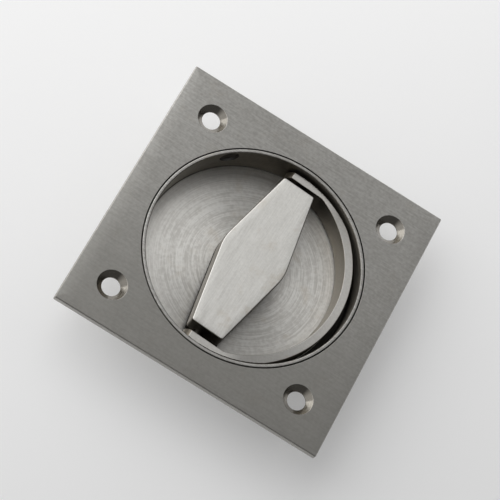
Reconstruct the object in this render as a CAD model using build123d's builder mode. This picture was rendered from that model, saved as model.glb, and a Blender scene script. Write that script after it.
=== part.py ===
# Recessed ring pull for a door: a square face plate with a round cup pressed into it,
# a six-sided turn bar on a hub through the cup floor, and a half ring that folds out of the cup.
# Frame: origin in the middle of the plate's back face, +Z out of the door, +Y along one plate side.
# The bar and everything that turns with it are built as they stand, a few degrees off +Y.
from build123d import *
from math import cos, radians, sin, sqrt, tan
import os

# Face plate
plate_side = 85.0
plate_thick = 2.0
plate_corner = 0.4
plate_edge = 0.25
screw_spacing = 61.0
screw_hole = 2.75
screw_sink = 4.45
screw_sink_angle = 90.0

# Round cup
cup_outer = 33.0
cup_rim = 1.1
shoulder_wide = 0.6
recess_depth = 0.5
shoulder_edge_high = 0.8
shoulder_edge_wide = 0.3
recess_gap = 0.6
cup_depth = 10.5
floor_thick = 2.0
floor_corner = 0.2
back_corner = 1.2
rim_edge = 0.2
seam_gap = 0.25
seam_depth = 0.7
side_recess_radius = 2.8
side_recess_depth = 0.7
side_recess_turn = 130.0
side_recess_below_face = 3.3

# Turn bar
bar_turned = -3.0
bar_tab_gap = 1.95
bar_end_half = 5.2
bar_side_lean = 11.15
bar_waist_round = 15.0
bar_end_round = 0.8
bar_top_edge = 0.4
bar_below_face = 0.4
bar_floor_gap = 2.0

# Hub, bush and what holds them at the back
hub_radius = 7.5
hub_length = 9.5
hub_edge = 0.5
socket_side = 8.1
socket_depth = 10.0
running_gap = 0.05
bush_wall = 0.95
bush_flange_wide = 1.1
bush_bar_gap = 0.1
washer_wide = 4.5
washer_thick = 0.8
clip_thick = 1.0
clip_groove_depth = 0.6
clip_stands_out = 1.8
clip_gap_half = 2.6
clip_lug = 1.7
clip_eye = 0.7

# Pull ring
ring_below_face = 2.2
ring_floor_gap = 0.7
ring_cup_gap = 0.8
ring_tab_thick = 2.35
ring_arc_shift = -3.45
ring_arc_larger = 2.2
ring_band = 2.55
ring_bend = 5.0
ring_draft = 3.0
ring_end_flat = 1.9
ring_edge = 0.2

# Pivot pins
pivot_shift = -1.4
pivot_radius = 1.5
pivot_in_bar = 6.0
pivot_sunk = 0.2
pivot_end_edge = 0.3

# Heights and places that follow from the sizes above
cup_inner = cup_outer - cup_rim
cup_body = cup_outer + shoulder_wide
cup_floor = plate_thick - cup_depth
cup_back = cup_floor - floor_thick
bar_top = plate_thick - bar_below_face
bar_under = cup_floor + bar_floor_gap
bar_height = bar_top - bar_under
ring_top = plate_thick - ring_below_face
ring_bottom = cup_floor + ring_floor_gap
ring_height = ring_top - ring_bottom
ring_outer = cup_inner - ring_cup_gap
ring_tab_inside = ring_outer - ring_tab_thick
ring_arc_outer = ring_outer + ring_arc_larger
ring_arc_inner = ring_arc_outer - ring_band
pivot_height = (ring_top + ring_bottom) / 2
ring_end_top = (pivot_shift - ring_end_flat, ring_top)
ring_end_middle = (pivot_shift - ring_height / 2, pivot_height)
ring_end_bottom = (pivot_shift, ring_bottom)
bar_half_length = ring_tab_inside - bar_tab_gap
bar_waist_half = bar_end_half + bar_half_length * tan(radians(bar_side_lean))
hub_end = bar_under - hub_length
bush_outer = hub_radius + running_gap + bush_wall
bush_flange_thick = bar_floor_gap - bush_bar_gap
washer_front = cup_back - running_gap
clip_front = washer_front - washer_thick - running_gap
groove_bottom = hub_radius - clip_groove_depth
clip_outer = hub_radius + clip_stands_out
clip_lug_side = clip_gap_half + clip_lug
clip_lug_place = sqrt(clip_outer**2 - clip_lug_side**2)
pivot_outside = sqrt(ring_outer**2 - (pivot_radius - pivot_shift) ** 2) - pivot_sunk

# Planes that stand with the bar: flat ones for outlines, and one seen from the bar's end
turned = Plane(origin=(0, 0, 0), x_dir=(cos(radians(bar_turned)), sin(radians(bar_turned)), 0))
end_on = Plane(origin=(0, 0, 0), x_dir=turned.x_dir, z_dir=-turned.y_dir)

os.makedirs("parts", exist_ok=True)

# Face plate with a countersunk hole near each corner
with BuildPart() as face_plate:
    with BuildSketch():
        RectangleRounded(plate_side, plate_side, plate_corner)
    extrude(amount=plate_thick)
    chamfer(face_plate.edges().group_by(Axis.Z)[-1], length=plate_edge)
    with Locations((0, 0, plate_thick)):
        CounterBoreHole(cup_outer, cup_outer + seam_gap, seam_depth)
        with GridLocations(screw_spacing, screw_spacing, 2, 2):
            CounterSinkHole(screw_hole, screw_sink, counter_sink_angle=screw_sink_angle)
    with BuildSketch():
        Circle(cup_body + recess_gap)
    extrude(amount=recess_depth, mode=Mode.SUBTRACT)
face_plate.part.label = "face_plate"

# Cup, turned from one piece: its front fits the plate's bore, its shoulder sits in the plate's back,
# and a shallow round recess is drilled into its wall from inside
with BuildPart() as cup:
    with BuildSketch(Plane.XY.offset(cup_back)):
        Circle(cup_body)
    extrude(amount=recess_depth - cup_back)
    top_edge = cup.edges().group_by(Axis.Z)[-1]
    top_face = cup.faces().sort_by(Axis.Z)[-1]
    chamfer(top_edge, length=shoulder_edge_wide, length2=shoulder_edge_high, reference=top_face)
    with BuildSketch(Plane.XY.offset(recess_depth)):
        Circle(cup_outer)
    extrude(amount=plate_thick - recess_depth)
    with BuildSketch(Plane.XY.offset(cup_floor)):
        Circle(cup_inner)
    extrude(amount=cup_depth, mode=Mode.SUBTRACT)
    fillet(cup.edges().filter_by(GeomType.CIRCLE).group_by(Axis.Z)[1], radius=floor_corner)
    fillet(cup.edges().group_by(Axis.Z)[0], radius=back_corner)
    chamfer(cup.edges().group_by(Axis.Z)[-1], length=rim_edge)
    with BuildSketch(Plane.XY.offset(cup_back)):
        Circle(bush_outer)
    extrude(amount=floor_thick, mode=Mode.SUBTRACT)
    side_recess_plane = Plane(
        origin=(0, 0, plate_thick - side_recess_below_face),
        z_dir=(cos(radians(side_recess_turn)), sin(radians(side_recess_turn)), 0),
    )
    with BuildSketch(side_recess_plane):
        Circle(side_recess_radius)
    extrude(amount=cup_inner + side_recess_depth, mode=Mode.SUBTRACT)
cup.part.label = "cup"

# Bush with a flange that keeps the bar off the cup floor
with BuildPart() as flange_bush:
    with BuildSketch(Plane.XY.offset(cup_back)):
        Circle(bush_outer)
        Circle(hub_radius + running_gap, mode=Mode.SUBTRACT)
    extrude(amount=floor_thick)
    with BuildSketch(Plane.XY.offset(cup_floor)):
        Circle(bush_outer + bush_flange_wide)
        Circle(hub_radius + running_gap, mode=Mode.SUBTRACT)
    extrude(amount=bush_flange_thick)
flange_bush.part.label = "flange_bush"

# Turn bar: six-sided block, hub with a clip groove, square socket from the back
with BuildPart() as turn_bar:
    with BuildSketch(turned.offset(bar_under)):
        with BuildLine():
            Polyline(
                (bar_end_half, bar_half_length),
                (bar_waist_half, 0),
                (bar_end_half, -bar_half_length),
                (-bar_end_half, -bar_half_length),
                (-bar_waist_half, 0),
                (-bar_end_half, bar_half_length),
                close=True,
            )
        make_face()
    extrude(amount=bar_height)
    uprights = turn_bar.edges().filter_by(Axis.Z)
    waist_uprights = uprights.sort_by(lambda edge: abs(edge.center().Y))[0:2]
    fillet(waist_uprights, radius=bar_waist_round)
    uprights = turn_bar.edges().filter_by(Axis.Z)
    end_uprights = uprights.sort_by(lambda edge: abs(edge.center().Y))[-4:]
    fillet(end_uprights, radius=bar_end_round)
    fillet(turn_bar.edges().group_by(Axis.Z)[-1], radius=bar_top_edge)
    with BuildSketch(turned.offset(hub_end)):
        Circle(hub_radius)
    extrude(amount=hub_length)
    chamfer(turn_bar.edges().group_by(Axis.Z)[0], length=hub_edge)
    with BuildSketch(turned.offset(clip_front + running_gap / 2)):
        Circle(clip_outer)
        Circle(groove_bottom, mode=Mode.SUBTRACT)
    extrude(amount=-(clip_thick + running_gap), mode=Mode.SUBTRACT)
    with BuildSketch(turned.offset(hub_end)):
        Rectangle(socket_side, socket_side)
    extrude(amount=socket_depth, mode=Mode.SUBTRACT)
    for end in (1, -1):
        with BuildSketch(end_on.offset(end * bar_half_length)):
            with Locations((pivot_shift, pivot_height)):
                Circle(pivot_radius)
        extrude(amount=-end * pivot_in_bar, mode=Mode.SUBTRACT)
turn_bar.part.label = "turn_bar"

# Pull ring: half ring with two straight tabs, each with an eye for its pivot pin. The tabs' ends are
# round underneath, to swing clear of the cup floor, and fuller above, where their flat tops go on
with BuildPart() as pull_ring:
    with BuildSketch(turned.offset(ring_bottom)):
        Circle(ring_outer)
        with Locations((ring_arc_shift, 0)):
            Circle(ring_arc_outer, mode=Mode.INTERSECT)
    extrude(amount=ring_height)
    with BuildSketch(turned.offset(ring_top)) as ring_space:
        with Locations((ring_arc_shift, 0)):
            Circle(ring_arc_inner)
        Rectangle(2 * ring_outer, 2 * ring_tab_inside, mode=Mode.INTERSECT)
        right_corners = ring_space.vertices().filter_by(lambda corner: corner.X > 0)
        fillet(right_corners, radius=ring_bend)
    extrude(amount=-ring_height, taper=ring_draft, mode=Mode.SUBTRACT)
    with BuildSketch(end_on):
        with BuildLine():
            Polyline(
                ring_end_top,
                (2 * ring_outer, ring_top),
                (2 * ring_outer, ring_bottom),
                ring_end_bottom,
            )
            TangentArc(ring_end_middle, ring_end_top, tangent=(0, 1))
            TangentArc(ring_end_middle, ring_end_bottom, tangent=(0, -1))
        make_face()
    extrude(amount=2 * ring_outer, both=True, mode=Mode.INTERSECT)
    fillet(pull_ring.edges().group_by(Axis.Z)[-1], radius=ring_edge)
    with BuildSketch(end_on):
        with Locations((pivot_shift, pivot_height)):
            Circle(pivot_radius + running_gap)
    extrude(amount=2 * ring_outer, both=True, mode=Mode.SUBTRACT)
pull_ring.part.label = "pull_ring"

# Washer behind the cup floor
with BuildPart() as thrust_washer:
    with BuildSketch(Plane.XY.offset(washer_front)):
        Circle(hub_radius + washer_wide)
        Circle(hub_radius + running_gap, mode=Mode.SUBTRACT)
    extrude(amount=-washer_thick)
thrust_washer.part.label = "thrust_washer"

# Spring clip in the hub groove, open on one side, with two eyes for pliers
with BuildPart() as hub_clip:
    with BuildSketch(turned.offset(clip_front)):
        Circle(clip_outer)
        with Locations((clip_lug_place, clip_lug_side), (clip_lug_place, -clip_lug_side)):
            Circle(clip_lug)
        Circle(groove_bottom + running_gap, mode=Mode.SUBTRACT)
        Rectangle(2 * clip_outer, 2 * clip_gap_half, align=(Align.MIN, Align.CENTER), mode=Mode.SUBTRACT)
        with Locations((clip_lug_place, clip_lug_side), (clip_lug_place, -clip_lug_side)):
            Circle(clip_eye, mode=Mode.SUBTRACT)
    extrude(amount=-clip_thick)
hub_clip.part.label = "hub_clip"

for piece in (face_plate, cup, flange_bush, turn_bar, pull_ring, thrust_washer, hub_clip):
    export_step(piece.part, f"parts/{piece.part.label}.step")

# Two pivot pins, one pressed into each end of the bar
for name, side in (("pivot_pin_upper", -1), ("pivot_pin_lower", 1)):
    with BuildPart() as pivot_pin:
        with BuildSketch(end_on.offset(side * pivot_outside)):
            with Locations((pivot_shift, pivot_height)):
                Circle(pivot_radius)
        extrude(amount=-side * (pivot_outside - bar_half_length + pivot_in_bar))
        chamfer(pivot_pin.edges().filter_by(GeomType.CIRCLE), length=pivot_end_edge)
    pivot_pin.part.label = name
    export_step(pivot_pin.part, f"parts/{name}.step")
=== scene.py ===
from math import cos, radians, sin

import bpy
from mathutils import Matrix, Vector


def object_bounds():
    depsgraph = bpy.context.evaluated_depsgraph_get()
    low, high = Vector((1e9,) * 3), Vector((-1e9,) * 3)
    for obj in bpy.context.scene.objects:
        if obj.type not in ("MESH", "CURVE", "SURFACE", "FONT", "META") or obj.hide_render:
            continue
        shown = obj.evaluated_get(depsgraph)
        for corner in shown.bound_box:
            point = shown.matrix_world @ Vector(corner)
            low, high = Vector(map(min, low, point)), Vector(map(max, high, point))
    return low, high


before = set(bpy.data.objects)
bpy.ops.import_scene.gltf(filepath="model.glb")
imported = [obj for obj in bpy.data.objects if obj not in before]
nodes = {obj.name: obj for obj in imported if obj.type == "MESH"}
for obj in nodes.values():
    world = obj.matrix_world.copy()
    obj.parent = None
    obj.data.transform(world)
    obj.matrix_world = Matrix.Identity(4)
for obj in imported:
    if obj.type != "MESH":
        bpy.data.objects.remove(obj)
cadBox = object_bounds()
mm = 0.001  # sizes in the looks are millimetres
print("frame loaded with", len(nodes), "nodes")

# sizes of the pieces that the finishes follow
plateHalf = cadBox[1].x / mm
cupOuter = 33.0
cupInner = 31.9
cupFloor = -8.5
barTurned = -3.0  # degrees


# short ways to add and join shader nodes

def addNode(tree, kind, **settings):
    made = tree.nodes.new(kind)
    for name, value in settings.items():
        setattr(made, name, value)
    return made


def feed(tree, socket, value):
    if isinstance(value, bpy.types.NodeSocket):
        tree.links.new(value, socket)
    else:
        socket.default_value = value


def calc(tree, operation, *values):
    made = addNode(tree, "ShaderNodeMath", operation=operation)
    for socket, value in zip(made.inputs, values):
        feed(tree, socket, value)
    return made.outputs[0]


def vectorCalc(tree, operation, *values):
    made = addNode(tree, "ShaderNodeVectorMath", operation=operation)
    for socket, value in zip(made.inputs, values):
        feed(tree, socket, value)
    return made.outputs["Value" if operation in ("LENGTH", "DOT_PRODUCT") else "Vector"]


def scaled(tree, vector, factor):
    made = addNode(tree, "ShaderNodeVectorMath", operation="SCALE")
    feed(tree, made.inputs[0], vector)
    feed(tree, made.inputs["Scale"], factor)
    return made.outputs["Vector"]


def joinXyz(tree, *values):
    made = addNode(tree, "ShaderNodeCombineXYZ")
    for socket, value in zip(made.inputs, values):
        feed(tree, socket, value)
    return made.outputs[0]


def splitXyz(tree, vector):
    made = addNode(tree, "ShaderNodeSeparateXYZ")
    feed(tree, made.inputs[0], vector)
    return made.outputs


def remap(tree, value, low, high, newLow=0.0, newHigh=1.0, smooth=False):
    made = addNode(tree, "ShaderNodeMapRange")
    if smooth:
        made.interpolation_type = "SMOOTHSTEP"
    feed(tree, made.inputs["Value"], value)
    feed(tree, made.inputs["From Min"], low)
    feed(tree, made.inputs["From Max"], high)
    feed(tree, made.inputs["To Min"], newLow)
    feed(tree, made.inputs["To Max"], newHigh)
    return made.outputs[0]


def mixOf(tree, kind, factor, first, second, blend="MIX"):
    made = addNode(tree, "ShaderNodeMix", data_type=kind)
    slots = {"FLOAT": (2, 3, 0), "VECTOR": (4, 5, 1), "RGBA": (6, 7, 2)}[kind]
    if kind == "RGBA":
        made.blend_type = blend
    feed(tree, made.inputs[0], factor)
    feed(tree, made.inputs[slots[0]], first)
    feed(tree, made.inputs[slots[1]], second)
    return made.outputs[slots[2]]


def noise(tree, place, detail=2.0, roughness=0.5, w=None):
    made = addNode(tree, "ShaderNodeTexNoise", noise_dimensions="3D" if w is None else "4D")
    feed(tree, made.inputs["Vector"], place)
    if w is not None:
        feed(tree, made.inputs["W"], w)
    made.inputs["Scale"].default_value = 1.0
    made.inputs["Detail"].default_value = detail
    made.inputs["Roughness"].default_value = roughness
    return made.outputs["Fac"]


def blotches(tree, place, size, detail, roughness=0.5):
    return noise(tree, scaled(tree, place, 1 / (size * mm)), detail, roughness)


def rgba(colour):
    return (*colour, 1.0)


def newMaterial(name):
    material = bpy.data.materials.new(name)
    material.use_nodes = True
    tree = material.node_tree
    place = addNode(tree, "ShaderNodeTexCoord").outputs["Object"]
    return material, tree, tree.nodes["Principled BSDF"], place


def paint(nodeName, material):
    for slot in nodes[nodeName].material_slots:
        slot.material = material


# grain of the steel: each kind gives its streaks, and the way its grooves run

def straightGrain(tree, place, look):
    turn = radians(look["grainTurn"])
    along = vectorCalc(tree, "DOT_PRODUCT", place, (cos(turn), sin(turn), 0))
    across = vectorCalc(tree, "DOT_PRODUCT", place, (-sin(turn), cos(turn), 0))
    height = splitXyz(tree, place)[2]

    def streaks(long, fine, detail):
        spot = joinXyz(
            tree,
            calc(tree, "MULTIPLY", along, 1 / (long * mm)),
            calc(tree, "MULTIPLY", across, 1 / (fine * mm)),
            calc(tree, "MULTIPLY", height, 1 / (fine * mm)),
        )
        return noise(tree, spot, detail)

    groove = joinXyz(tree, cos(turn), sin(turn), 0.0)
    return streaks, groove


def roundGrain(tree, place, look):
    centre = look.get("grainCentre", (0, 0))
    fromCentre = vectorCalc(tree, "SUBTRACT", place, (centre[0] * mm, centre[1] * mm, 0))
    x, y, z = splitXyz(tree, fromCentre)
    flat = joinXyz(tree, x, y, 0.0)
    radius = vectorCalc(tree, "LENGTH", flat)
    outward = splitXyz(tree, vectorCalc(tree, "NORMALIZE", flat))

    def streaks(long, fine, detail):
        spot = joinXyz(
            tree,
            calc(tree, "MULTIPLY", outward[0], look["grainRadius"] / long),
            calc(tree, "MULTIPLY", outward[1], look["grainRadius"] / long),
            calc(tree, "MULTIPLY", radius, 1 / (fine * mm)),
        )
        return noise(tree, spot, detail, w=calc(tree, "MULTIPLY", z, 1 / (fine * mm)))

    groove = joinXyz(tree, calc(tree, "MULTIPLY", outward[1], -1.0), outward[0], 0.0)
    return streaks, groove


def screwHole(tree, place, look):
    # place in millimetres from the nearest screw hole's middle, and a mask of its countersink
    x, y = splitXyz(tree, scaled(tree, place, 1 / mm))[:2]
    fromX = calc(tree, "SUBTRACT", calc(tree, "ABSOLUTE", x), look["holePlace"])
    fromY = calc(tree, "SUBTRACT", calc(tree, "ABSOLUTE", y), look["holePlace"])
    fromX = calc(tree, "MULTIPLY", fromX, calc(tree, "SIGN", x))
    fromY = calc(tree, "MULTIPLY", fromY, calc(tree, "SIGN", y))
    radius = vectorCalc(tree, "LENGTH", joinXyz(tree, fromX, fromY, 0.0))
    fade = look["sinkFade"]
    mask = remap(tree, radius, look["sinkRadius"] + fade, look["sinkRadius"] - fade)
    return fromX, fromY, radius, mask


def plateGrain(tree, place, look):
    # brushed straight, with turned lines in the countersinks
    straight, straightGroove = straightGrain(tree, place, look)
    fromX, fromY, radius, mask = screwHole(tree, place, look)

    def streaks(long, fine, detail):
        turned = noise(tree, joinXyz(tree, fromX, fromY, calc(tree, "MULTIPLY", radius, 1 / fine)), detail)
        return mixOf(tree, "FLOAT", mask, straight(long, fine, detail), turned)

    turnedGroove = joinXyz(tree, calc(tree, "MULTIPLY", fromY, -1.0), fromX, 0.0)
    turnedGroove = vectorCalc(tree, "NORMALIZE", turnedGroove)
    return streaks, mixOf(tree, "VECTOR", mask, straightGroove, turnedGroove)


def cupGrain(tree, place, look):
    # the rim was brushed with the plate, and everything below it was turned
    turned, turnedGroove = roundGrain(tree, place, look)
    straight, straightGroove = straightGrain(tree, place, look)
    height = splitXyz(tree, place)[2]
    rim = remap(tree, height, look["rimFrom"] * mm, (look["rimFrom"] + look["rimFade"]) * mm)

    def streaks(long, fine, detail):
        return mixOf(tree, "FLOAT", rim, turned(long, fine, detail), straight(long, fine, detail))

    return streaks, mixOf(tree, "VECTOR", rim, turnedGroove, straightGroove)


def ringGrain(tree, place, look):
    # the tabs are brushed across, and the bend turns the grain round
    streaks, roundGroove = roundGrain(tree, place, look)
    turn = radians(barTurned)
    outward = vectorCalc(tree, "DOT_PRODUCT", place, (cos(turn), sin(turn), 0))
    tab = remap(tree, outward, look["bendEnd"] * mm, look["tabEnd"] * mm, 0.0, 1.0, True)
    groove = mixOf(tree, "VECTOR", tab, roundGroove, (-sin(turn), cos(turn), 0))
    return streaks, groove


def acrossGroove(tree, groove, look):
    # the gloss spreads across the grooves, so the shader's tangent lies square to them;
    # the small lean keeps a direction on faces that the grooves run straight into
    groove = vectorCalc(tree, "ADD", groove, (0.0, 0.0, look["grooveLean"]))
    turned = addNode(
        tree, "ShaderNodeVectorTransform", vector_type="VECTOR", convert_from="OBJECT", convert_to="WORLD"
    )
    feed(tree, turned.inputs[0], groove)
    normal = addNode(tree, "ShaderNodeNewGeometry").outputs["Normal"]
    return vectorCalc(tree, "CROSS_PRODUCT", normal, turned.outputs[0])


# faces and edges

def objectNormal(tree):
    turned = addNode(
        tree, "ShaderNodeVectorTransform", vector_type="NORMAL", convert_from="WORLD", convert_to="OBJECT"
    )
    feed(tree, turned.inputs[0], addNode(tree, "ShaderNodeNewGeometry").outputs["Normal"])
    return turned.outputs[0]


def edgeMask(tree, look):
    # the normal of a slightly rounded edge, and how far it turns from the face's own
    rounded = addNode(tree, "ShaderNodeBevel", samples=6)
    rounded.inputs["Radius"].default_value = look["edgeWidth"] * mm
    normal = addNode(tree, "ShaderNodeNewGeometry").outputs["Normal"]
    agree = vectorCalc(tree, "DOT_PRODUCT", rounded.outputs[0], normal)
    return rounded.outputs[0], remap(tree, agree, look["edgeFrom"], look["edgeTo"])


def rolledOff(tree, rolled, look):
    # the surface falls away faster towards the edge, in units of the grain's depth
    return calc(tree, "MULTIPLY", calc(tree, "POWER", rolled, 2.0), -look["rollDepth"] / look["grainDepth"])


def softEdge(tree, place, look):
    # polishing takes a little more off near the straight sides
    turn = radians(look["sidesTurned"])
    along = calc(tree, "ABSOLUTE", vectorCalc(tree, "DOT_PRODUCT", place, (cos(turn), sin(turn), 0)))
    across = calc(tree, "ABSOLUTE", vectorCalc(tree, "DOT_PRODUCT", place, (-sin(turn), cos(turn), 0)))
    folded = joinXyz(tree, along, across, 0.0)
    nearest = None
    for lean, farOut in look["sides"]:
        outward = (cos(radians(lean)), sin(radians(lean)), 0)
        reach = vectorCalc(tree, "DOT_PRODUCT", folded, outward)
        past = calc(tree, "SUBTRACT", reach, (farOut - look["rollWidth"]) * mm)
        nearest = past if nearest is None else calc(tree, "MAXIMUM", nearest, past)
    return rolledOff(tree, remap(tree, nearest, 0.0, look["rollWidth"] * mm), look)


def rimRoll(tree, place, look):
    # both edges of the rim are polished round
    x, y = splitXyz(tree, scaled(tree, place, 1 / mm))[:2]
    radius = vectorCalc(tree, "LENGTH", joinXyz(tree, x, y, 0.0))
    outer = remap(tree, radius, cupOuter - look["rollWidth"], cupOuter)
    inner = remap(tree, radius, cupInner + look["rollWidth"], cupInner)
    return rolledOff(tree, calc(tree, "MAXIMUM", outer, inner), look)


# painted shade and dirt: each function gives the colour with its painted shade and any dirt, and their mask

def grimeAndShadeOver(tree, mask, colour, grimeAndShadeColour):
    # painted shade and grime cover the metal, so they are neither bright nor glossy
    return mixOf(tree, "RGBA", mask, colour, rgba(grimeAndShadeColour)), mask


def plateShadeAndDirt(tree, place, colour, look):
    # painted shade towards one side, countersinks darker and browner, dirt in the groove round the cup
    x, y = splitXyz(tree, place)[:2]
    radius = vectorCalc(tree, "LENGTH", joinXyz(tree, x, y, 0.0))
    fade = look["seamFade"]
    seam = remap(tree, radius, (look["seamRadius"] + fade) * mm, (look["seamRadius"] - fade) * mm)
    # painted shade: the plate darkens towards -Y
    plateShade = remap(tree, y, look["plateShadeTo"] * mm, look["plateShadeFrom"] * mm, look["plateShadeAmount"], 0.0, True)
    colour = mixOf(tree, "RGBA", plateShade, colour, rgba(look["plateShadeColour"]))
    sink = calc(tree, "MULTIPLY", screwHole(tree, place, look)[3], look["sinkDarkening"])
    colour = mixOf(tree, "RGBA", sink, colour, rgba(look["sinkColour"]))
    return grimeAndShadeOver(tree, seam, colour, look["seamColour"])


def ringPaintedShade(tree, place, colour, look):
    # painted shade: the wall that faces away from the hub is black
    x, y = splitXyz(tree, place)[:2]
    away = vectorCalc(tree, "NORMALIZE", joinXyz(tree, x, y, 0.0))
    facing = vectorCalc(tree, "DOT_PRODUCT", away, objectNormal(tree))
    outside = remap(tree, facing, look["backFrom"], look["backTo"])
    return grimeAndShadeOver(tree, calc(tree, "MULTIPLY", outside, look["backShade"]), colour, look["backShadeColour"])


def barPaintedShade(tree, place, colour, look):
    # painted shade: the underside and the foot of the sides are black, and the hub below is left bare
    height = splitXyz(tree, place)[2]
    fade = look["footFade"]
    foot = remap(tree, height, (look["footTo"] + fade) * mm, (look["footTo"] - fade) * mm)
    aboveHub = remap(tree, height, (look["hubTop"] - fade) * mm, (look["hubTop"] - fade / 3) * mm)
    foot = calc(tree, "MULTIPLY", foot, aboveHub)
    return grimeAndShadeOver(tree, calc(tree, "MULTIPLY", foot, look["footShade"]), colour, look["footShadeColour"])


def cupRecess(tree, x, y, z, look):
    # mask of painted shade in the round recess that is drilled into the wall from one side
    turn = radians(look["recessTurn"])
    aside = calc(
        tree, "ADD", calc(tree, "MULTIPLY", x, -sin(turn)), calc(tree, "MULTIPLY", y, cos(turn))
    )
    outward = calc(
        tree, "ADD", calc(tree, "MULTIPLY", x, cos(turn)), calc(tree, "MULTIPLY", y, sin(turn))
    )
    above = calc(tree, "SUBTRACT", z, look["recessHeight"])
    fromMiddle = vectorCalc(tree, "LENGTH", joinXyz(tree, aside, above, 0.0))
    darkFrom, darkTo = look["recessDark"]
    within = remap(tree, fromMiddle, darkFrom, darkTo, 0, look["recessShade"])
    return calc(tree, "MULTIPLY", within, remap(tree, outward, look["recessFrom"], look["recessFrom"] + 1))


def cupPaintedShade(tree, place, colour, look):
    # floor paler near the wall, and painted shade in the corner where they meet, in the recess and behind the
    # ring
    x, y, z = splitXyz(tree, scaled(tree, place, 1 / mm))
    flat = joinXyz(tree, x, y, 0.0)
    radius = vectorCalc(tree, "LENGTH", flat)
    skin = look["floorSkin"]
    onFloor = remap(tree, z, cupFloor + 4 * skin, cupFloor + 2 * skin)
    overFloor = remap(tree, z, cupFloor - 2 * skin, cupFloor - skin)

    paler = remap(tree, radius, look["paleFrom"], look["paleTo"], 0, look["paleAmount"], True)
    paler = calc(tree, "MULTIPLY", paler, onFloor)
    colour = mixOf(tree, "RGBA", paler, colour, rgba(look["paleColour"]))

    # painted shade along the corner of floor and wall
    nearWall = remap(tree, radius, cupInner - look["cornerShade"], cupInner, 0, 1, True)
    nearFloor = remap(tree, z, cupFloor + look["cornerShade"], cupFloor, 0, 1, True)
    corner = calc(tree, "MULTIPLY", calc(tree, "MULTIPLY", nearWall, nearFloor), overFloor)

    # painted shade in the narrow gap behind the ring
    fromRing = vectorCalc(tree, "LENGTH", vectorCalc(tree, "SUBTRACT", flat, (*look["ringPlace"], 0)))
    darkFrom, darkTo = look["gapDark"]
    behind = remap(tree, fromRing, darkFrom, darkTo, 0, 1, True)
    behind = calc(tree, "MULTIPLY", behind, remap(tree, z, look["gapTop"], look["gapLow"], 0, 1, True))

    shaded = calc(tree, "MAXIMUM", corner, cupRecess(tree, x, y, z, look))
    shaded = calc(tree, "MAXIMUM", shaded, behind)
    deepest = cupInner + look["recessDepth"]
    inside = remap(tree, radius, deepest + look["outsideFade"], deepest)
    shaded = calc(tree, "MULTIPLY", shaded, inside)
    return grimeAndShadeOver(tree, calc(tree, "MULTIPLY", shaded, look["cupShadeAmount"]), colour, look["cupShadeColour"])


# the metal itself, and the bush's plastic

def steelColour(tree, place, fine, broad, edge, look):
    clouds = blotches(tree, place, look["cloudSize"], 3.0)
    specks = blotches(tree, place, look["speckSize"], 2.0, 0.6)
    layers = (
        (fine, look["fineTone"]),
        (broad, look["bandTone"]),
        (clouds, look["cloudTone"]),
        (specks, look["speckTone"]),
    )
    tone = 0.5
    for pattern, amount in layers:
        tone = calc(tree, "ADD", tone, calc(tree, "MULTIPLY", calc(tree, "SUBTRACT", pattern, 0.5), amount))
    colour = mixOf(tree, "RGBA", tone, rgba(look["dark"]), rgba(look["light"]))

    stain = blotches(tree, place, look["stainSize"], 4.0, 0.6)
    stain = remap(tree, stain, look["stainFrom"], look["stainTo"], 0.0, look["stainAmount"], smooth=True)
    colour = mixOf(tree, "RGBA", stain, colour, rgba(look["stain"]))
    # painted highlight along the edges
    colour = mixOf(tree, "RGBA", calc(tree, "MULTIPLY", edge, look["edgeHighlightTone"]), colour, rgba(look["edge"]))

    # painted shade: upright faces are darker and browner than the flat ones
    flatness = calc(tree, "ABSOLUTE", splitXyz(tree, objectNormal(tree))[2])
    uprightShade = remap(tree, flatness, look["flatTo"], look["uprightFrom"], 0.0, look["uprightShadeAmount"])
    uprightShadeTint = mixOf(tree, "RGBA", 1.0, colour, rgba(look["uprightShadeTint"]), "MULTIPLY")
    return mixOf(tree, "RGBA", uprightShade, colour, uprightShadeTint)


def steel(name, look, grain):
    material, tree, shader, place = newMaterial(name)
    streaks, groove = grain(tree, place, look)
    fine = streaks(look["grainLong"], look["grainFine"], 3.0)
    broad = streaks(look["grainLong"] * look["bandLonger"], look["grainFine"] * look["bandTimes"], 2.0)
    roundedNormal, edge = edgeMask(tree, look)
    colour = steelColour(tree, place, fine, broad, edge, look)

    bothGrains = calc(tree, "ADD", fine, broad)
    rough = remap(tree, bothGrains, look["roughFrom"], look["roughTo"], look["roughLow"], look["roughHigh"])
    if "sinkRough" in look:
        sinkRough = remap(tree, fine, look["sinkFrom"], look["sinkTo"], *look["sinkRough"])
        rough = mixOf(tree, "FLOAT", screwHole(tree, place, look)[3], rough, sinkRough)
    shader.inputs["Metallic"].default_value = 1.0
    # painted shade, and the real dirt in the plate's seam, lie matt and not metallic over the steel
    if "dirtAndShade" in look:
        colour, grimeAndShade = look["dirtAndShade"](tree, place, colour, look)
        rough = mixOf(tree, "FLOAT", grimeAndShade, rough, look["grimeRough"])
        feed(tree, shader.inputs["Metallic"], calc(tree, "SUBTRACT", 1.0, grimeAndShade))

    fineHeight = calc(tree, "MULTIPLY", fine, look["fineHeight"])
    height = calc(tree, "ADD", fineHeight, calc(tree, "MULTIPLY", broad, look["bandHeight"]))
    if "roll" in look:
        height = calc(tree, "ADD", height, look["roll"](tree, place, look))
    bump = addNode(tree, "ShaderNodeBump")
    bump.inputs["Strength"].default_value = 1.0
    bump.inputs["Distance"].default_value = look["grainDepth"] * mm
    feed(tree, bump.inputs["Height"], height)
    feed(tree, bump.inputs["Normal"], roundedNormal)

    feed(tree, shader.inputs["Base Color"], colour)
    feed(tree, shader.inputs["Roughness"], rough)
    feed(tree, shader.inputs["Normal"], bump.outputs[0])
    feed(tree, shader.inputs["Tangent"], acrossGroove(tree, groove, look))
    shader.inputs["Specular IOR Level"].default_value = look["grimeGloss"]
    shader.inputs["Anisotropic"].default_value = look["anisotropy"]
    return material


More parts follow.
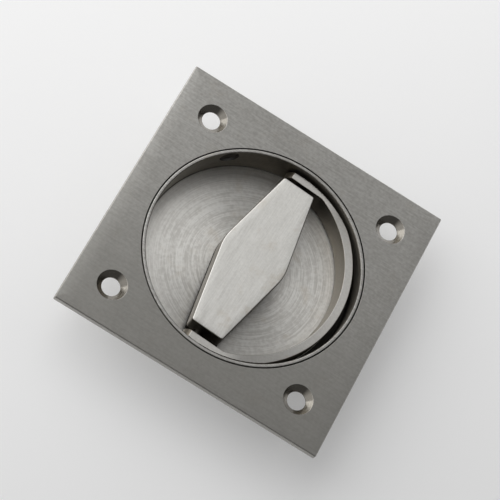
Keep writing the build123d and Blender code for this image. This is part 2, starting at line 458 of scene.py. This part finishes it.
def plastic(name, look):
    material, tree, shader, place = newMaterial(name)
    grainy = blotches(tree, place, look["grainFine"], 3.0)
    colour = mixOf(tree, "RGBA", grainy, rgba(look["dark"]), rgba(look["light"]))
    rough = remap(tree, grainy, look["roughFrom"], look["roughTo"], look["roughLow"], look["roughHigh"])
    bump = addNode(tree, "ShaderNodeBump")
    bump.inputs["Distance"].default_value = look["grainDepth"] * mm
    feed(tree, bump.inputs["Height"], grainy)
    feed(tree, shader.inputs["Base Color"], colour)
    feed(tree, shader.inputs["Roughness"], rough)
    feed(tree, shader.inputs["Normal"], bump.outputs[0])
    return material


# what all the steel pieces start from
steelBase = {
    "grainLong": 8.0, "grainFine": 0.12, "grainTurn": 0.0, "grainDepth": 0.0010, "grainRadius": 30.0,
    "bandTimes": 3.0, "bandLonger": 3.0, "fineTone": 0.6, "bandTone": 0.4,
    "fineHeight": 0.6, "bandHeight": 0.4,
    "cloudSize": 14.0, "cloudTone": 0.4, "speckSize": 0.7, "speckTone": 1.2,
    "stain": (0.46, 0.40, 0.32), "stainSize": 6.0, "stainAmount": 0.15, "stainFrom": 0.55, "stainTo": 0.75,
    "edge": (0.72, 0.71, 0.68), "edgeWidth": 0.15, "edgeHighlightTone": 0.3, "edgeFrom": 0.995, "edgeTo": 0.8,
    "dark": (0.50, 0.485, 0.455), "light": (0.64, 0.63, 0.60),
    "roughLow": 0.28, "roughHigh": 0.42, "roughFrom": 0.6, "roughTo": 1.4,
    "anisotropy": 0.75, "grooveLean": 0.03,
    "uprightShadeTint": (0.50, 0.46, 0.40), "uprightShadeAmount": 1.0, "flatTo": 0.75, "uprightFrom": 0.25,
    "grimeRough": 0.85, "grimeGloss": 0.1,
}

# face plate, brushed along X
plateLook = {
    **steelBase,
    "grainLong": 4.5, "grainFine": 0.3, "fineTone": 2.0, "bandTone": 0.6,
    "speckSize": 0.9, "speckTone": 1.8, "cloudSize": 8.0, "cloudTone": 0.7,
    "dark": (0.45, 0.437, 0.41), "light": (0.60, 0.59, 0.56), "uprightShadeAmount": 0.0,
    "plateShadeFrom": 25.0, "plateShadeTo": -38.0, "plateShadeAmount": 0.62, "plateShadeColour": (0.33, 0.32, 0.295),
    "holePlace": 30.5, "sinkRadius": 4.45, "sinkFade": 0.05,
    "sinkDarkening": 0.9, "sinkColour": (0.25, 0.232, 0.203),
    "sinkRough": (0.10, 0.22), "sinkFrom": 0.35, "sinkTo": 0.65,
    "seamRadius": 33.27, "seamFade": 0.02, "seamColour": (0.03, 0.028, 0.025), "dirtAndShade": plateShadeAndDirt,
    "sidesTurned": 0.0, "sides": ((0.0, plateHalf), (90.0, plateHalf)),  # lean, and way out from the middle
    "rollWidth": 5.0, "rollDepth": 0.09, "roll": softEdge,
}
paint("face_plate", steel("plateSteel", plateLook, plateGrain))
print("face plate finished")

# cup, turned about its middle
cupLook = {
    **steelBase,
    "grainLong": 12.0, "grainFine": 0.32, "grainDepth": 0.0080,
    "bandTimes": 2.5, "fineTone": 4.0, "bandTone": 1.2,
    "speckSize": 1.1, "speckTone": 2.2, "cloudSize": 6.0, "cloudTone": 0.8, "stainAmount": 0.35,
    "dark": (0.52, 0.505, 0.475), "light": (0.68, 0.67, 0.64),
    "uprightShadeTint": (0.42, 0.395, 0.355), "flatTo": 0.92, "uprightFrom": 0.55,
    "edgeWidth": 0.05, "edgeHighlightTone": 0.1,
    "rimFrom": 1.7, "rimFade": 0.05, "rollWidth": 0.40, "rollDepth": 0.08, "roll": rimRoll,
    "paleFrom": 23.0, "paleTo": 31.0, "paleAmount": 0.4, "paleColour": (0.84, 0.82, 0.78),
    "floorSkin": 0.1, "cornerShade": 0.5, "outsideFade": 0.2,
    "recessTurn": 130.0, "recessHeight": -1.3, "recessDepth": 0.7,
    "recessDark": (3.0, 2.85), "recessFrom": 20.0, "recessShade": 0.75,  # dark: unshaded to painted shade, from its middle
    "ringPlace": (-3.445, 0.181), "gapDark": (33.2, 33.6), "gapTop": -1.5, "gapLow": -6.0,
    "cupShadeAmount": 0.93, "cupShadeColour": (0.03, 0.027, 0.022), "dirtAndShade": cupPaintedShade,
}
paint("cup", steel("cupSteel", cupLook, cupGrain))
print("cup finished")

# turn bar, brushed along its length
barLook = {
    **steelBase,
    "grainTurn": 90.0 + barTurned, "grainLong": 5.0, "grainFine": 0.3, "fineTone": 1.6, "bandTone": 0.15,
    "dark": (0.57, 0.56, 0.53), "light": (0.69, 0.68, 0.65), "stainAmount": 0.35,
    "uprightShadeTint": (0.30, 0.28, 0.255), "flatTo": 0.95, "uprightFrom": 0.75, "edgeHighlightTone": 0.0,
    "sidesTurned": barTurned, "sides": ((11.15, 10.29), (90.0, 26.8)),  # lean, and way out from the middle
    "rollWidth": 2.2, "rollDepth": 0.085, "roll": softEdge,
    "footTo": -4.5, "hubTop": -6.5, "footFade": 0.15, "footShade": 0.9, "footShadeColour": (0.008, 0.008, 0.008),
    "dirtAndShade": barPaintedShade,
}
paint("turn_bar", steel("barSteel", barLook, straightGrain))
print("turn bar finished")

# pull ring, brushed round its curve
ringLook = {
    **steelBase,
    "grainCentre": (-3.4, 0.2), "bendEnd": 15.0, "tabEnd": 6.0,
    "dark": (0.43, 0.417, 0.391), "light": (0.54, 0.53, 0.505),
    "uprightShadeTint": (0.42, 0.385, 0.335), "flatTo": 0.98, "uprightFrom": 0.80, "edgeHighlightTone": 0.0,
    "backFrom": 0.35, "backTo": 0.6, "backShade": 0.6, "backShadeColour": (0.015, 0.015, 0.015), "dirtAndShade": ringPaintedShade,
}
paint("pull_ring", steel("ringSteel", ringLook, ringGrain))
print("pull ring finished")

# pivot pins, painted dark as shade in the gaps that they cross
pinShadeLook = {**steelBase, "anisotropy": 0.3, "dark": (0.05, 0.047, 0.042), "light": (0.09, 0.085, 0.077)}
pinSteelPaintedShade = steel("pinSteelPaintedShade", pinShadeLook, roundGrain)
paint("pivot_pin_upper", pinSteelPaintedShade)
paint("pivot_pin_lower", pinSteelPaintedShade)

# fittings on the hub, behind the cup
washerLook = {**steelBase, "anisotropy": 0.3}
clipLook = {**steelBase, "dark": (0.10, 0.10, 0.105), "light": (0.16, 0.16, 0.165), "edge": (0.3, 0.3, 0.3)}
bushLook = {
    "dark": (0.66, 0.65, 0.61), "light": (0.74, 0.73, 0.69), "grainFine": 0.4, "grainDepth": 0.004,
    "roughLow": 0.45, "roughHigh": 0.6, "roughFrom": 0.3, "roughTo": 0.7,
}
paint("thrust_washer", steel("washerSteel", washerLook, roundGrain))
paint("hub_clip", steel("clipSteel", clipLook, roundGrain))
paint("flange_bush", plastic("bushNylon", bushLook))
print("pins and hub fittings finished")

# floor under the part, pale, with a painted light glow that grows towards one side
floorLook = {
    "side": 8.0, "gap": 0.00005, "colour": (0.70, 0.70, 0.70), "rough": 0.9,
    "glowNear": 0.19, "glowFar": 0.35, "farWay": (-0.66, 0.75, 0.0), "fadeHalf": 0.09,
}
bpy.ops.mesh.primitive_plane_add(size=floorLook["side"], location=(0, 0, cadBox[0].z - floorLook["gap"]))
floor = bpy.context.object
floor.name = "floor"
floorPaint, floorTree, floorShader, floorPlace = newMaterial("floorPaint")
floorShader.inputs["Base Color"].default_value = rgba(floorLook["colour"])
floorShader.inputs["Roughness"].default_value = floorLook["rough"]
floorShader.inputs["Specular IOR Level"].default_value = 0.0
floorShader.inputs["Emission Color"].default_value = (1.0, 1.0, 1.0, 1.0)
rays = addNode(floorTree, "ShaderNodeLightPath").outputs
seen = calc(floorTree, "MAXIMUM", rays["Is Camera Ray"], rays["Is Glossy Ray"])
seen = calc(floorTree, "MAXIMUM", seen, rays["Is Transmission Ray"])
# painted light: the floor's glow grows towards farWay
farness = vectorCalc(floorTree, "DOT_PRODUCT", floorPlace, floorLook["farWay"])
fadeHalf = floorLook["fadeHalf"]
glow = remap(floorTree, farness, -fadeHalf, fadeHalf, floorLook["glowNear"], floorLook["glowFar"])
feed(floorTree, floorShader.inputs["Emission Strength"], calc(floorTree, "MULTIPLY", seen, glow))
floor.data.materials.append(floorPaint)
print("floor laid")

# studio: light falls off evenly from the upper left of the picture to the side behind the camera
worldLook = {
    "colour": (1.0, 1.0, 1.0), "paleSide": (-0.955, 0.26, 0.14), "darkFrom": -0.16, "slope": 1.25,
    "least": 0.13, "most": 0.85,
}
world = bpy.data.worlds.new("studio")
bpy.context.scene.world = world
world.use_nodes = True
sky = world.node_tree
sky.nodes["Background"].inputs["Color"].default_value = rgba(worldLook["colour"])
skyDirection = addNode(sky, "ShaderNodeTexCoord").outputs["Generated"]
skySide = vectorCalc(sky, "DOT_PRODUCT", skyDirection, worldLook["paleSide"])
skyTone = calc(sky, "MULTIPLY", calc(sky, "SUBTRACT", skySide, worldLook["darkFrom"]), worldLook["slope"])
skyTone = calc(sky, "MINIMUM", calc(sky, "MAXIMUM", skyTone, worldLook["least"]), worldLook["most"])
feed(sky, sky.nodes["Background"].inputs["Strength"], skyTone)

lamps = {
    "keyLamp": {"from": (-0.60, 0.225, 0.55), "size": 1.1, "power": 4.3},
    "sideLamp": {"from": (0.65, 0.75, 0.93), "size": 1.0, "power": 1.1},
}
for name, lampLook in lamps.items():
    lampData = bpy.data.lights.new(name, "AREA")
    lampData.size = lampLook["size"]
    lampData.energy = lampLook["power"]
    lamp = bpy.data.objects.new(name, lampData)
    bpy.context.collection.objects.link(lamp)
    lamp.location = lampLook["from"]
    lamp.rotation_euler = Vector(lampLook["from"]).to_track_quat("Z", "Y").to_euler()
    lamp.visible_camera = False
print("studio lit")

# camera, where the photograph was taken from
cameraLook = {
    "place": (-46.19, -267.43, 560.72),
    "right": (0.84734672, 0.44947113, 0.28280603),
    "up": (-0.52627402, 0.78194494, 0.33406252),
    "back": (-0.07098728, -0.43190025, 0.89912345),
    "sensor": 36.0, "lens": 157.16, "clipFrom": 0.01, "clipTo": 50.0,
}
cameraData = bpy.data.cameras.new("photoCamera")
cameraData.sensor_width = cameraLook["sensor"]
cameraData.lens = cameraLook["lens"]
cameraData.clip_start = cameraLook["clipFrom"]
cameraData.clip_end = cameraLook["clipTo"]
camera = bpy.data.objects.new("photoCamera", cameraData)
bpy.context.collection.objects.link(camera)
aim = Matrix((cameraLook["right"], cameraLook["up"], cameraLook["back"])).transposed()
camera.matrix_world = Matrix.Translation(Vector(cameraLook["place"]) * mm) @ aim.to_4x4()
bpy.context.scene.camera = camera
bpy.context.scene.view_settings.view_transform = "Standard"
print("camera set")
